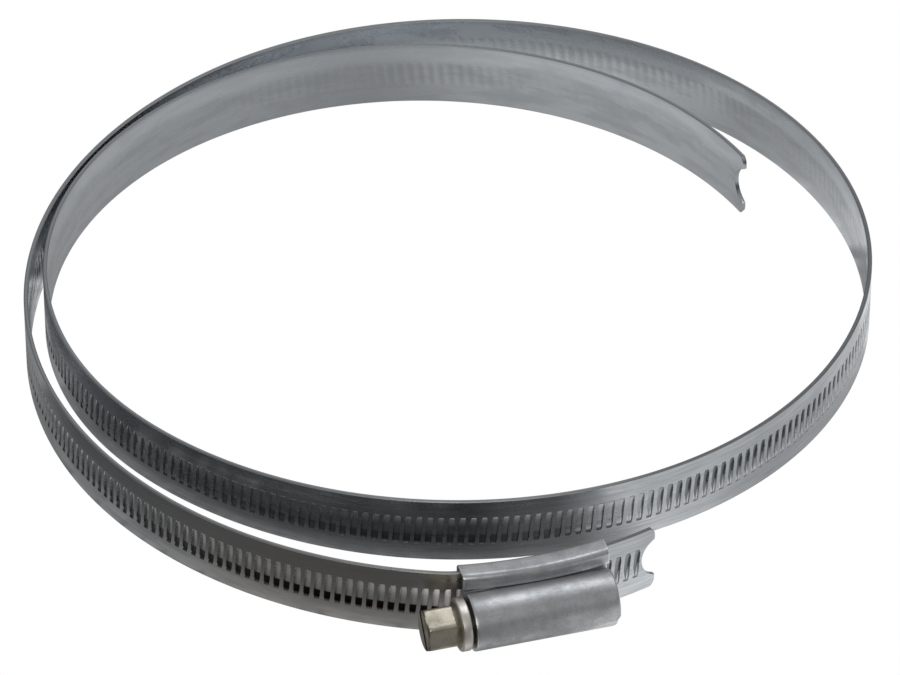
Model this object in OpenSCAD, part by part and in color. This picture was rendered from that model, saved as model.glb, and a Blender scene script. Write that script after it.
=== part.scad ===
// Large worm-drive hose clip for a duct or hose, lying loosely coiled.
// The band is one steel strip. It is drawn here as a chain of rigid arcs,
// joined end to end on upright hinge lines, so that the coil can open.
// Origin: middle of the coil's inner circle, at mid width of the band.
// +Z is up along the coil's axis. The screw's axis runs along X, in front (-Y).

/* [Band] */
// Width of the strip, top edge to bottom edge
band_w = 13; // [9:0.5:20]
// Thickness of the strip
band_t = 0.8; // [0.5:0.05:1.2]
// Bevel along the strip's long edges
band_bevel = 0.2; // [0.05:0.05:0.35]

/* [Coil] */
// Middle radius of the strip inside the housing
house_r = 72; // [50:0.5:120]
// Turn of the strip from mid housing to the fixed end's tip
tip_a = 18.5; // [14:0.5:30]
// Turn of the strip from mid housing to the neck
mouth_a = 10.5; // [10.5:0.5:16]
// Middle radius of the short neck beside the housing
neck_r = 20; // [10:0.5:60]
// Turn of the neck
neck_a = 11; // [0:0.5:20]
// Turn of each run of the band
run_a = 66.4; // [50:0.1:75]
// Middle radius of run 1, next to the housing
run_1_r = 81.5; // [60:0.5:120]
// Middle radius of run 2
run_2_r = 86.5; // [60:0.5:120]
// Middle radius of run 3
run_3_r = 75.5; // [60:0.5:120]
// Middle radius of run 4
run_4_r = 73; // [60:0.5:120]
// Middle radius of run 5
run_5_r = 73.5; // [60:0.5:120]
// Middle radius of run 6
run_6_r = 78; // [60:0.5:120]
// Middle radius of the innermost runs, which hold the duct
inner_r = 68; // [55:0.5:120]
// Distance from each hinge line to the end of a run
hinge_gap = 0.3; // [0.2:0.05:0.5]

/* [Grooves] */
// Distance from one thread groove to the next
groove_pitch = 1.9; // [1.5:0.05:3]
// Width of a groove along the strip
groove_w = 1.15; // [0.6:0.05:1.6]
// Length of a groove across the strip
groove_l = 5.7; // [3:0.1:8]
// Depth of a groove in its middle
groove_d = 0.45; // [0.2:0.05:0.55]
// Slant of the grooves
groove_slant = 5; // [0:0.5:10]
// Plain stretch at the free end
plain_l = 13; // [5:0.5:30]

/* [Fishtail] */
// Radius of the round notch in each end
notch_r = 4.2; // [3:0.1:5]
// Depth of the notch
notch_d = 2.7; // [1:0.1:3.5]
// Radius of the prongs' corners
prong_r = 1.6; // [0.5:0.1:2.2]

/* [Saddle] */
// Sheet thickness of the saddle
saddle_t = 0.8; // [0.5:0.05:1.2]
// Length of the saddle
saddle_l = 26.1; // [18:0.1:26.2]
// Overall height of the saddle across the strip
saddle_h = 15.1; // [14:0.1:18]
// Outer face of the lips, measured out from the strip's inner face
lip_out = 3.4; // [2.8:0.05:4.5]
// Gap between the two lips
lip_gap = 9.4; // [7:0.1:11]
// Bend radius of the saddle's outer corners
saddle_bend = 1.1; // [0.3:0.1:1.5]

/* [Screw housing] */
// Length of the barrel
barrel_l = 25.7; // [18:0.1:26]
// Outer radius of the barrel
barrel_r = 5.05; // [4.5:0.05:6]
// Sheet thickness of the barrel
barrel_t = 0.8; // [0.5:0.05:1]
// Distance of the screw's axis from the strip's inner face
screw_out = 5.35; // [5:0.05:6.5]
// Near face of the flanges, measured out from the strip's inner face
flange_in = 1.8; // [1.7:0.05:2.2]
// Thickness of the flanges
flange_t = 0.7; // [0.4:0.05:0.9]
// Step in the barrel's closed end
end_step = 0.4; // [0:0.1:1]

/* [Worm screw] */
// Hex head across flats
hex_af = 7; // [5:0.5:10]
// Length of the hex
hex_l = 5.1; // [3:0.1:8]
// Length of the flare between hex and collar
flare_l = 0.7; // [0.3:0.1:1.5]
// Radius of the collar
collar_r = 4.7; // [4:0.05:6]
// Thickness of the collar
collar_t = 1.8; // [1:0.1:3]
// Gap between collar and barrel
collar_gap = 0.6; // [0.3:0.05:1]
// Width of the driver slot
slot_w = 1.2; // [0.6:0.1:2]
// Depth of the driver slot
slot_d = 1.6; // [0.5:0.1:3]
// Radius of the journal behind the collar
journal_r = 3.65; // [3:0.05:3.8]
// Running clearance round the journal
journal_c = 0.06; // [0.02:0.01:0.1]
// Radius of the worm at its crest
worm_r = 4; // [3.5:0.05:4.1]
// Radius of the worm at its root
worm_root_r = 3.1; // [2.5:0.05:3.5]

/* [Hidden] */
$fn = 96;
half_t = band_t / 2;
inner_face = house_r - half_t;
screw_y = -(inner_face + screw_out);
collar_x = -barrel_l / 2 - collar_gap;
hex_x = collar_x - collar_t - flare_l;
thread_x0 = -barrel_l / 2 + 2.4;
thread_l = barrel_l - 4.6;
steel = [0.66, 0.67, 0.69];
zinc = [0.72, 0.73, 0.74];
gold_zinc = [0.74, 0.71, 0.62];

// Direction from an arc's centre to the point at turn a past mid housing
function out(a) = [cos(-90 - a), sin(-90 - a)];

// Turn at which run i starts (i = 1 to 9)
function start_a(i) = mouth_a + neck_a + (i - 1) * run_a;

// Middle radius of run i
function run_r(i) =
    i == 1 ? run_1_r :
    i == 2 ? run_2_r :
    i == 3 ? run_3_r :
    i == 4 ? run_4_r :
    i == 5 ? run_5_r :
    i == 6 ? run_6_r : inner_r;

// Arc centres, with the housing arc's centre at zero
neck_c = (house_r - neck_r) * out(mouth_a);
function arc_c(i) =
    i == 1
        ? neck_c + (neck_r - run_r(1)) * out(start_a(1))
        : arc_c(i - 1) + (run_r(i - 1) - run_r(i)) * out(start_a(i));
origin = arc_c(9);

// Strip cross-section at middle radius r, with bevelled edges
module strip_profile(r) {
    h = band_w / 2;
    b = band_bevel;
    polygon([
        [r - half_t, -h + b], [r - half_t + b, -h], [r + half_t - b, -h], [r + half_t, -h + b],
        [r + half_t, h - b], [r + half_t - b, h], [r - half_t + b, h], [r - half_t, h - b]
    ]);
}

// Strip along an arc of radius r between turns a0 and a1
module strip(r, a0, a1) {
    rotate([0, 0, -90 - a1])
        rotate_extrude(angle = a1 - a0, $fn = 360)
            strip_profile(r);
}

// One groove cutter at turn a: a disc standing across the strip
module groove(r, a) {
    disc_r = (pow(groove_l / 2, 2) + pow(groove_d, 2)) / (2 * groove_d);
    rotate([0, 0, -90 - a])
        translate([r + half_t - groove_d + disc_r, 0, 0])
            rotate([-groove_slant, 0, 0])
                rotate([90, 0, 0])
                    cylinder(r = disc_r, h = groove_w, center = true, $fn = 180);
}

// Grooves j0 to j1 of an arc that is cut into n pitches
module grooves(r, a0, a1, n, j0, j1) {
    for (j = [j0 : j1])
        groove(r, a0 + (a1 - a0) * j / n);
}

// Material removed to make a fishtail at turn a; side is +1 when the tip lies
// towards larger turns and -1 when it lies towards smaller ones
module fishtail_cut(r, a, side) {
    rotate([0, 0, -90 - a])
        translate([r - 2, 0, 0])
            rotate([90, 0, 90])
                linear_extrude(4)
                    scale([side, 1]) {
                        translate([notch_d - notch_r, 0])
                            circle(notch_r);
                        for (k = [-1, 1])
                            scale([1, k])
                                difference() {
                                    translate([-1, band_w / 2 - prong_r])
                                        square([prong_r + 1, prong_r + 1]);
                                    translate([prong_r, band_w / 2 - prong_r])
                                        circle(prong_r);
                                }
                    }
}

// A middle run: plain arc with grooves from end to end
module run(i) {
    r = run_r(i);
    a0 = start_a(i);
    a1 = a0 + run_a;
    da = hinge_gap / r * 180 / PI;
    n = round(r * run_a * PI / 180 / groove_pitch);
    translate(arc_c(i) - origin)
        color(steel)
            difference() {
                strip(r, a0 + da, a1 - da);
                grooves(r, a0, a1, n, 0, n);
            }
}

// Last run, with the plain stretch and the fishtail
module band_free_end() {
    r = run_r(9);
    a0 = start_a(9);
    a1 = a0 + run_a;
    da = hinge_gap / r * 180 / PI;
    n = round(r * run_a * PI / 180 / groove_pitch);
    translate(arc_c(9) - origin)
        color(steel)
            difference() {
                strip(r, a0 + da, a1);
                grooves(r, a0, a1, n, 0, n - floor(plain_l / groove_pitch));
                fishtail_cut(r, a1, 1);
            }
}

// The end that is held in the saddle, with the neck that leads to the first hinge
module band_fixed_end() {
    n = round(house_r * (tip_a + mouth_a) * PI / 180 / groove_pitch);
    m = round(neck_r * neck_a * PI / 180 / groove_pitch);
    da = hinge_gap / neck_r * 180 / PI;
    color(steel)
        translate(-origin)
            difference() {
                union() {
                    difference() {
                        strip(house_r, -tip_a, mouth_a);
                        fishtail_cut(house_r, -tip_a, -1);
                    }
                    translate(neck_c)
                        strip(neck_r, mouth_a, mouth_a + neck_a - da);
                }
                grooves(house_r, -tip_a, mouth_a, n, 2, n - 1);
                translate(neck_c)
                    grooves(neck_r, mouth_a, mouth_a + neck_a, m, 1, m);
            }
}

// Rectangle with round corners, from corner p to corner q
module soft_box(p, q, r) {
    translate([p[0] + r, p[1]])
        square([q[0] - p[0] - 2 * r, q[1] - p[1]]);
    translate([p[0], p[1] + r])
        square([q[0] - p[0], q[1] - p[1] - 2 * r]);
    for (x = [p[0] + r, q[0] - r], y = [p[1] + r, q[1] - r])
        translate([x, y])
            circle(r);
}

// Strap under the strip, folded round its edges and over the flanges
module saddle() {
    h = saddle_h / 2;
    t = saddle_t;
    a = 12;
    color(zinc)
        translate(-origin)
            intersection() {
                rotate([0, 0, -90 - a])
                    rotate_extrude(angle = 2 * a)
                        translate([inner_face, 0])
                            difference() {
                                soft_box([-t - 0.03, -h], [lip_out, h], saddle_bend);
                                soft_box([-0.03, -h + t], [lip_out - t, h - t], 0.3);
                                translate([lip_out - t - 1, -lip_gap / 2])
                                    square([t + 2, lip_gap]);
                            }
                translate([-saddle_l / 2, -house_r - 10, -10])
                    cube([saddle_l, 20, 20]);
            }
}

// Flange of the housing, an arc of sheet under the saddle's lip
module flange() {
    l = barrel_l;
    w = saddle_h / 2 - saddle_t - 0.1;
    r = inner_face + flange_in;
    intersection() {
        rotate([0, 0, -102])
            rotate_extrude(angle = 24)
                translate([r - 0.4, 2.5])
                    square([flange_t + 0.4, w - 2.5]);
        translate([-l / 2, -house_r - 10, 0])
            cube([l, 20, 20]);
    }
}

// Cylinder along the screw's axis, from x to x + l
module along_screw(x, r, l) {
    translate([x, screw_y, 0])
        rotate([0, 90, 0])
            cylinder(r = r, h = l);
}

// Pressed half-barrel over the worm, with flanges under the saddle's lips
module screw_housing() {
    l = barrel_l;
    color(zinc)
        translate(-origin)
            difference() {
                union() {
                    along_screw(-l / 2, barrel_r, l);
                    flange();
                    mirror([0, 0, 1])
                        flange();
                }
                along_screw(-l / 2 + barrel_t, barrel_r - barrel_t, l - 2 * barrel_t);
                along_screw(-l / 2 - 1, journal_r + journal_c, 5);
                translate([0, 0, -10])
                    cylinder(r = inner_face + flange_in, h = 20, $fn = 360);
                translate([l / 2 - end_step, screw_y - 10, -10])
                    cube([2, 20, 9]);
            }
}

// Hexagonal head with its end bevelled
module hex_head() {
    hex_r = hex_af / 2 / cos(30);
    intersection() {
        rotate([0, 90, 0])
            rotate([0, 0, 90])
                cylinder(r = hex_r, h = hex_l, $fn = 6);
        rotate([0, 90, 0])
            cylinder(r1 = hex_r - 0.6, r2 = hex_r - 0.6 + hex_l * 1.7, h = hex_l);
    }
    translate([hex_l, 0, 0])
        rotate([0, 90, 0])
            cylinder(r1 = hex_af / 2 - 0.15, r2 = hex_r + 0.1, h = flare_l);
}

// Collar with softened edges
module collar() {
    rotate([0, 90, 0])
        rotate_extrude()
            polygon([
                [0, 0], [collar_r - 0.3, 0], [collar_r, 0.3],
                [collar_r, collar_t - 0.2], [collar_r - 0.2, collar_t], [0, collar_t]
            ]);
}

// Worm: one tilted ridge for each pitch stands for the thread's turn
module worm() {
    tilt = atan(groove_pitch / (PI * (worm_r + worm_root_r)));
    turns = floor(thread_l / groove_pitch);
    rotate([0, 90, 0])
        cylinder(r = worm_root_r, h = thread_l);
    for (j = [0 : turns - 1])
        translate([(j + 0.7) * groove_pitch, 0, 0])
            rotate([0, 90, 0])
                rotate([0, tilt, 0])
                    rotate_extrude()
                        polygon([
                            [worm_root_r - 0.4, -0.65], [worm_r, -0.32],
                            [worm_r, 0.32], [worm_root_r - 0.4, 0.65]
                        ]);
}

// Slotted hex head, flare, collar, journal and worm, all one piece
module worm_screw() {
    color(gold_zinc)
        translate([0, screw_y, 0] - [origin[0], origin[1], 0])
            rotate([-39, 0, 0])
                difference() {
                    union() {
                        translate([hex_x - hex_l, 0, 0])
                            hex_head();
                        translate([collar_x - collar_t, 0, 0])
                            collar();
                        translate([collar_x, 0, 0])
                            rotate([0, 90, 0])
                                cylinder(r = journal_r, h = thread_x0 - collar_x);
                        translate([thread_x0, 0, 0])
                            worm();
                    }
                    translate([hex_x - hex_l - 1, -slot_w / 2, -6])
                        cube([slot_d + 1, slot_w, 12]);
                }
}

saddle();
screw_housing();
worm_screw();
band_fixed_end();
run(1);  // band_run_1
run(2);  // band_run_2
run(3);  // band_run_3
run(4);  // band_run_4
run(5);  // band_run_5
run(6);  // band_run_6
run(7);  // band_run_7
run(8);  // band_run_8
band_free_end();
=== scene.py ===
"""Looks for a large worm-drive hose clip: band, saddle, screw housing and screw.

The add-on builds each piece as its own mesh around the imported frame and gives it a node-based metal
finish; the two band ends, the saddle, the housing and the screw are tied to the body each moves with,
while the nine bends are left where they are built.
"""

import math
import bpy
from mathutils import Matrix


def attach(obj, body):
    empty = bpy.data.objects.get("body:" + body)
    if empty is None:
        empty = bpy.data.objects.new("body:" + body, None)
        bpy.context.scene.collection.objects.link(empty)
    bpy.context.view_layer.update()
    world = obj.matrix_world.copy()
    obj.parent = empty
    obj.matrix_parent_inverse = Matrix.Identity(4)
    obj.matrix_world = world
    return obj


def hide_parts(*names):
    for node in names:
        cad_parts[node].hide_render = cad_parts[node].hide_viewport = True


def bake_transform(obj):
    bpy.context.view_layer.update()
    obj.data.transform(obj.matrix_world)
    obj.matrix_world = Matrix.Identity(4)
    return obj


bl_info = {
    "name": "Hose Clip Looks",
    "version": (1, 0, 0),
    "blender": (4, 5, 0),
    "location": "View3D > Sidebar > Hose Clip",
    "description": "Band, saddle, housing and screw of a worm-drive hose clip",
    "category": "Object",
}

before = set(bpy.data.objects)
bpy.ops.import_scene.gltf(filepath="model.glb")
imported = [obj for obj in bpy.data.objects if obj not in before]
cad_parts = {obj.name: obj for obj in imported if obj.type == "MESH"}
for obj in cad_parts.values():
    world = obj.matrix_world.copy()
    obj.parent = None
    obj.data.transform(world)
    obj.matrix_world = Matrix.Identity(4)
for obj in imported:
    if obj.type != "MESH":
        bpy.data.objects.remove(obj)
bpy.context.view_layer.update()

import bmesh
import bpy
import numpy as np
from bpy.props import FloatProperty, FloatVectorProperty, PointerProperty
from mathutils import Matrix, Vector

MM = 0.001


# ---------- settings


def length(name, description, mm):
    """A length property with its default given in millimetres."""
    return FloatProperty(
        name=name, description=description, default=mm * MM, min=0.0, precision=5,
        subtype="DISTANCE", unit="LENGTH",
    )


def turn(name, description, degrees):
    """An angle property with its default given in degrees."""
    return FloatProperty(
        name=name, description=description, default=math.radians(degrees),
        subtype="ANGLE", unit="ROTATION",
    )


def colour(name, description, rgb):
    """A linear colour property."""
    return FloatVectorProperty(
        name=name, description=description, default=rgb, size=3, min=0.0, max=1.0, subtype="COLOR",
    )


class BandSettings(bpy.types.PropertyGroup):
    """Sizes of the strip and of its coil."""

    width: length("Width", "Top edge to bottom edge of the strip", 13.0)
    thickness: length("Thickness", "Thickness of the strip", 0.8)
    bevel: length("Bevel", "Bevel along the long edges", 0.2)
    house_radius: length("Housing Radius", "Middle radius inside the housing", 72.0)
    neck_radius: length("Neck Radius", "Middle radius of the neck", 20.0)
    tip_turn: turn("Tip Turn", "Turn from mid housing to the fixed tip", 18.5)
    mouth_turn: turn("Mouth Turn", "Turn from mid housing to the neck", 10.5)
    neck_turn: turn("Neck Turn", "Turn of the neck", 11.0)
    run_turn: turn("Run Turn", "Turn of each run", 66.4)
    run_radii: FloatVectorProperty(
        name="Run Radii", description="Middle radii of runs 1 to 6", size=6, precision=5, unit="LENGTH",
        default=[r * MM for r in (81.5, 86.5, 75.5, 73.0, 73.5, 78.0)],
    )
    inner_radius: length("Inner Radius", "Middle radius of the last three runs", 68.0)
    groove_pitch: length("Groove Pitch", "Distance from groove to groove", 1.9)
    groove_width: length("Groove Width", "Width of a groove along the strip", 1.2)
    groove_depth: length("Groove Depth", "Depth of a groove in its middle", 0.45)
    groove_slant: turn("Groove Slant", "Slant of the grooves", 5.0)
    notch_radius: length("Notch Radius", "Radius of the round notch in each end", 4.2)
    notch_depth: length("Notch Depth", "Depth of the notch", 2.7)
    prong_radius: length("Prong Radius", "Radius of the prongs' corners", 1.6)


class HousingSettings(bpy.types.PropertyGroup):
    """Sizes of the saddle and the screw housing."""

    saddle_sheet: length("Saddle Sheet", "Sheet thickness of the saddle", 0.8)
    saddle_length: length("Saddle Length", "Length of the saddle", 26.1)
    saddle_height: length("Saddle Height", "Overall height of the saddle", 15.1)
    lip_reach: length("Lip Reach", "Outer face of the lips from the strip's inner face", 3.4)
    lip_gap: length("Lip Gap", "Gap between the two lips", 9.4)
    barrel_length: length("Barrel Length", "Length of the barrel", 25.7)
    barrel_radius: length("Barrel Radius", "Outer radius of the barrel", 5.05)
    barrel_sheet: length("Barrel Sheet", "Sheet thickness of the barrel", 0.8)
    axis_reach: length("Axis Reach", "Screw axis from the strip's inner face", 5.35)
    flange_reach: length("Flange Reach", "Near face of the flanges from the strip's inner face", 1.8)
    flange_sheet: length("Flange Sheet", "Thickness of the flanges", 0.7)
    end_step: length("End Step", "Step in the closed end", 0.4)


class ScrewSettings(bpy.types.PropertyGroup):
    """Sizes of the worm screw."""

    hex_flats: length("Hex Flats", "Hex head across flats", 7.0)
    hex_length: length("Hex Length", "Length of the hex", 5.1)
    flare_length: length("Flare Length", "Length of the flare before the collar", 0.7)
    collar_radius: length("Collar Radius", "Radius of the collar", 4.7)
    collar_length: length("Collar Length", "Thickness of the collar", 1.8)
    collar_gap: length("Collar Gap", "Gap between collar and barrel", 0.6)
    slot_width: length("Slot Width", "Width of the driver slot", 1.2)
    slot_depth: length("Slot Depth", "Depth of the driver slot", 1.6)
    journal_radius: length("Journal Radius", "Radius of the journal", 3.65)
    worm_radius: length("Worm Radius", "Radius of the worm at its crest", 4.0)
    root_radius: length("Root Radius", "Radius of the worm at its root", 3.1)
    rest_turn: turn("Rest Turn", "Turn of the screw about its axis at rest", -39.0)


class FinishSettings(bpy.types.PropertyGroup):
    """Colours of the metals and of the stage."""

    strip_light: colour("Strip Light", "Clean rolled zinc-coated strip", (0.60, 0.62, 0.64))
    strip_dark: colour("Strip Dark", "Stained strip", (0.36, 0.38, 0.40))
    strip_warm: colour("Strip Warm", "Handled strip near the housing", (0.52, 0.48, 0.44))
    # Inner face: smooth zinc tone, lighter than the outer face as a painted reflection, and used for a
    # painted highlight along its upper part.
    inner_face_sheen: colour("Strip Inside", "Smooth zinc on the inner face", (0.68, 0.72, 0.76))
    # Painted highlight on the floor of the grooves.
    groove_highlight: colour("Groove Bright", "Burnished upper part of the grooves", (0.86, 0.85, 0.84))
    # Painted shade, dark and reddish, low in the grooves.
    groove_low_shade: colour("Groove Grime", "Residue low in the grooves", (0.05, 0.025, 0.025))
    # Painted shade: the dark wedge in the grooves of the fixed tail and run 5, and the grooves' lower
    # ends.
    groove_shade: colour("Groove Worn", "Dull wedge of a worn groove", (0.15, 0.165, 0.175))
    edge_dull: colour("Edge Dull", "Sheared edges of the strip", (0.20, 0.21, 0.22))
    sheet_light: colour("Sheet Light", "Clean pressed sheet", (0.58, 0.59, 0.60))
    sheet_dark: colour("Sheet Dark", "Dull pressed sheet", (0.42, 0.43, 0.45))
    scratch_tone: colour("Scratch Tone", "Scratches in the sheet", (0.82, 0.84, 0.86))
    # Painted highlight on the sheet's marked edges.
    edge_highlight: colour("Rubbed Edge", "Bright edges of the sheet", (0.92, 0.93, 0.94))
    plating_light: colour("Plating Light", "Clean yellow-passivated zinc", (0.56, 0.52, 0.43))
    # Painted highlight: lighter tone over the screw's collar.
    collar_highlight: colour("Collar Tone", "Brighter zinc on the collar", (0.86, 0.82, 0.78))
    plating_dark: colour("Plating Dark", "Worn plating", (0.40, 0.36, 0.28))
    # Painted shade in the driver slot and over the screw inside the barrel.
    recess_shade: colour("Recess Tone", "Driver slot and journal", (0.02, 0.02, 0.02))
    floor_tone: colour("Floor", "Pale floor", (1.0, 1.0, 1.0))


class HoseClipSettings(bpy.types.PropertyGroup):
    """Everything the operators read."""

    band: PointerProperty(type=BandSettings)
    housing: PointerProperty(type=HousingSettings)
    screw: PointerProperty(type=ScrewSettings)
    finish: PointerProperty(type=FinishSettings)


# ---------- the strip's path


def out(a):
    """Direction from an arc's centre to the point at turn a past mid housing."""
    return np.array([math.cos(-math.pi / 2 - a), math.sin(-math.pi / 2 - a)])


class StripPath:
    """The strip's middle line as a chain of tangent arcs, in metres from the coil's centre."""

    def __init__(self, b):
        radii = [*b.run_radii, b.inner_radius, b.inner_radius, b.inner_radius]
        arcs = [(np.zeros(2), b.house_radius, -b.tip_turn, b.mouth_turn)]
        centre = (b.house_radius - b.neck_radius) * out(b.mouth_turn)
        a = b.mouth_turn + b.neck_turn
        arcs.append((centre, b.neck_radius, b.mouth_turn, a))
        before = b.neck_radius
        for r in radii:
            centre = centre + (before - r) * out(a)
            arcs.append((centre, r, a, a + b.run_turn))
            a += b.run_turn
            before = r
        self.origin = centre
        self.arcs = [(c - centre, r, a0, a1) for c, r, a0, a1 in arcs]
        self.lengths = [r * (a1 - a0) for c, r, a0, a1 in arcs]
        self.starts = np.concatenate([[0.0], np.cumsum(self.lengths)])
        self.total = float(self.starts[-1])

    def frames(self, s):
        """Points and outward normals of the middle line at the lengths s."""
        s = np.asarray(s, float)
        k = np.clip(np.searchsorted(self.starts, s, side="right") - 1, 0, len(self.arcs) - 1)
        c = np.array([arc[0] for arc in self.arcs])[k]
        r = np.array([arc[1] for arc in self.arcs])[k]
        a0 = np.array([arc[2] for arc in self.arcs])[k]
        turned = -math.pi / 2 - (a0 + (s - self.starts[k]) / r)
        normal = np.stack([np.cos(turned), np.sin(turned)], axis=-1)
        return c + normal * r[..., None], normal

    def point(self, s):
        """The middle line's point at length s, at mid width."""
        x, y = self.frames(np.array([s]))[0][0]
        return Vector((x, y, 0.0))

    def groove_places(self, b):
        """Length of every groove's middle, from the fixed end to the free end."""
        places = []
        for k, span in enumerate(self.lengths):
            n = round(span / b.groove_pitch)
            first = 2 if k == 0 else 1
            last = n - 6 if k == len(self.lengths) - 1 else n
            places += [self.starts[k] + span * j / n for j in range(first, last + 1)]
        return np.array(places)


def housing_seat(b):
    """Radius of the strip's inner face in the housing, and the coil's centre from that arc's centre."""
    return b.house_radius - b.thickness / 2, StripPath(b).origin


# ---------- mesh helpers


def mesh_object(name, verts, faces, material, values=None, sharp=32.0):
    """A smooth-shaded mesh object; values is {attribute: per-vertex numbers}, with uv as pairs."""
    mesh = bpy.data.meshes.new(name)
    mesh.from_pydata([tuple(v) for v in verts], [], faces)
    for key, numbers in (values or {}).items():
        if key == "uv":
            continue
        layer = mesh.attributes.new(key, "FLOAT", "POINT")
        layer.data.foreach_set("value", np.asarray(numbers, np.float32))
    if values and "uv" in values:
        corner = np.empty(len(mesh.loops), np.int32)
        mesh.loops.foreach_get("vertex_index", corner)
        uv = mesh.uv_layers.new(name="UVMap")
        uv.data.foreach_set("uv", np.asarray(values["uv"], np.float32)[corner].ravel())
    mesh.polygons.foreach_set("use_smooth", [True] * len(mesh.polygons))
    bm = bmesh.new()
    bm.from_mesh(mesh)
    bmesh.ops.recalc_face_normals(bm, faces=bm.faces)
    bm.to_mesh(mesh)
    bm.free()
    mesh.set_sharp_from_angle(angle=math.radians(sharp))
    mesh.materials.append(material)
    obj = bpy.data.objects.new(name, mesh)
    bpy.context.scene.collection.objects.link(obj)
    return obj


def tube_faces(columns, ring):
    """Quads of a tube of columns x ring vertices."""
    faces = []
    for i in range(columns - 1):
        a, b = i * ring, (i + 1) * ring
        for j in range(ring):
            k = (j + 1) % ring
            faces.append((a + j, a + k, b + k, b + j))
    return faces


def ladder_cap(base, n):
    """Cap of a ring whose first n vertices face its last n across the sheet."""
    ring = 2 * n
    return [(base + j, base + j + 1, base + ring - 2 - j, base + ring - 1 - j) for j in range(n - 1)]


def smooth(t):
    """Smooth step of t, clipped to 0..1."""
    t = np.clip(t, 0.0, 1.0)
    return t * t * (3 - 2 * t)


# ---------- node helpers


class Tree:
    """Short calls for making and linking nodes."""

    def __init__(self, tree):
        self.tree = tree
        tree.nodes.clear()

    def add(self, kind, **settings):
        node = self.tree.nodes.new(kind)
        for key, value in settings.items():
            setattr(node, key, value)
        return node

    def link(self, source, target):
        self.tree.links.new(source, target)

    def feed(self, target, value):
        """Links a socket, or sets a constant."""
        if isinstance(value, bpy.types.NodeSocket):
            self.link(value, target)
        else:
            target.default_value = value

    def math(self, operation, a, b=0.0, c=0.0, clamp=False):
        node = self.add("ShaderNodeMath", operation=operation, use_clamp=clamp)
        for socket, value in zip(node.inputs, (a, b, c)):
            self.feed(socket, value)
        return node.outputs[0]

    def remap(self, value, a, b, c, d, kind="SMOOTHSTEP"):
        node = self.add("ShaderNodeMapRange", interpolation_type=kind)
        for key, v in (("Value", value), ("From Min", a), ("From Max", b), ("To Min", c), ("To Max", d)):
            self.feed(node.inputs[key], v)
        return node.outputs["Result"]

    def ramp(self, value, a, b):
        """Smooth step of a value, 0 at a and 1 at b."""
        return self.remap(value, a, b, 0.0, 1.0)

    def times(self, *factors):
        """Product of sockets and numbers."""
        product = factors[0]
        for factor in factors[1:]:
            product = self.math("MULTIPLY", product, factor)
        return product

    def plus(self, *terms):
        """Sum of sockets and numbers."""
        total = terms[0]
        for term in terms[1:]:
            total = self.math("ADD", total, term)
        return total

    def less(self, a, b):
        return self.math("SUBTRACT", a, b)

    def tint(self, factor, tone, rgb):
        """Mixes a plain colour over a tone."""
        node = self.add("ShaderNodeMix", data_type="RGBA")
        self.feed(node.inputs[0], factor)
        self.feed(node.inputs[6], tone)
        self.feed(node.inputs[7], (*rgb, 1))
        return node.outputs[2]

    def between(self, factor, a, b):
        """Mixes two numbers."""
        node = self.add("ShaderNodeMix", data_type="FLOAT")
        self.feed(node.inputs[0], factor)
        self.feed(node.inputs[2], a)
        self.feed(node.inputs[3], b)
        return node.outputs[0]

    def noise(self, vector, scale, detail=3.0, rough=0.55):
        node = self.add("ShaderNodeTexNoise")
        self.feed(node.inputs["Vector"], vector)
        self.feed(node.inputs["Scale"], scale)
        node.inputs["Detail"].default_value = detail
        node.inputs["Roughness"].default_value = rough
        return node.outputs["Fac"]

    def stretch(self, vector, scale):
        node = self.add("ShaderNodeMapping")
        self.feed(node.inputs["Vector"], vector)
        node.inputs["Scale"].default_value = scale
        return node.outputs[0]

    def attribute(self, name):
        return self.add("ShaderNodeAttribute", attribute_name=name).outputs["Fac"]


def group(name, inputs, outputs):
    """A new node group with its interface; returns the group, its Tree and its two ends."""
    made = bpy.data.node_groups.new(name, "ShaderNodeTree")
    for key, kind, default in inputs:
        socket = made.interface.new_socket(key, in_out="INPUT", socket_type=kind)
        if default is not None:
            socket.default_value = default
    for key, kind in outputs:
        made.interface.new_socket(key, in_out="OUTPUT", socket_type=kind)
    tree = Tree(made)
    return made, tree, tree.add("NodeGroupInput").outputs, tree.add("NodeGroupOutput").inputs


def streak_group():
    """Rolling streaks along U with stains between them."""
    made, t, i, o = group(
        "Rolled Streaks",
        [("Vector", "NodeSocketVector", None)],
        [("Streaks", "NodeSocketFloat"), ("Stains", "NodeSocketFloat"), ("Height", "NodeSocketFloat")],
    )
    v = i["Vector"]
    fine = t.noise(t.stretch(v, (14.0, 900.0, 1.0)), 1.0, 4.0, 0.6)
    wide = t.noise(t.stretch(v, (3.0, 150.0, 1.0)), 1.0, 3.0, 0.5)
    stains = t.noise(t.stretch(v, (9.0, 34.0, 1.0)), 1.0, 4.0, 0.6)
    t.link(t.plus(t.times(fine, 0.7), t.times(wide, 0.3)), o["Streaks"])
    t.link(t.ramp(stains, 0.38, 0.66), o["Stains"])
    t.link(t.plus(t.times(fine, 0.7), t.times(stains, 0.3)), o["Height"])
    return made


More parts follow.
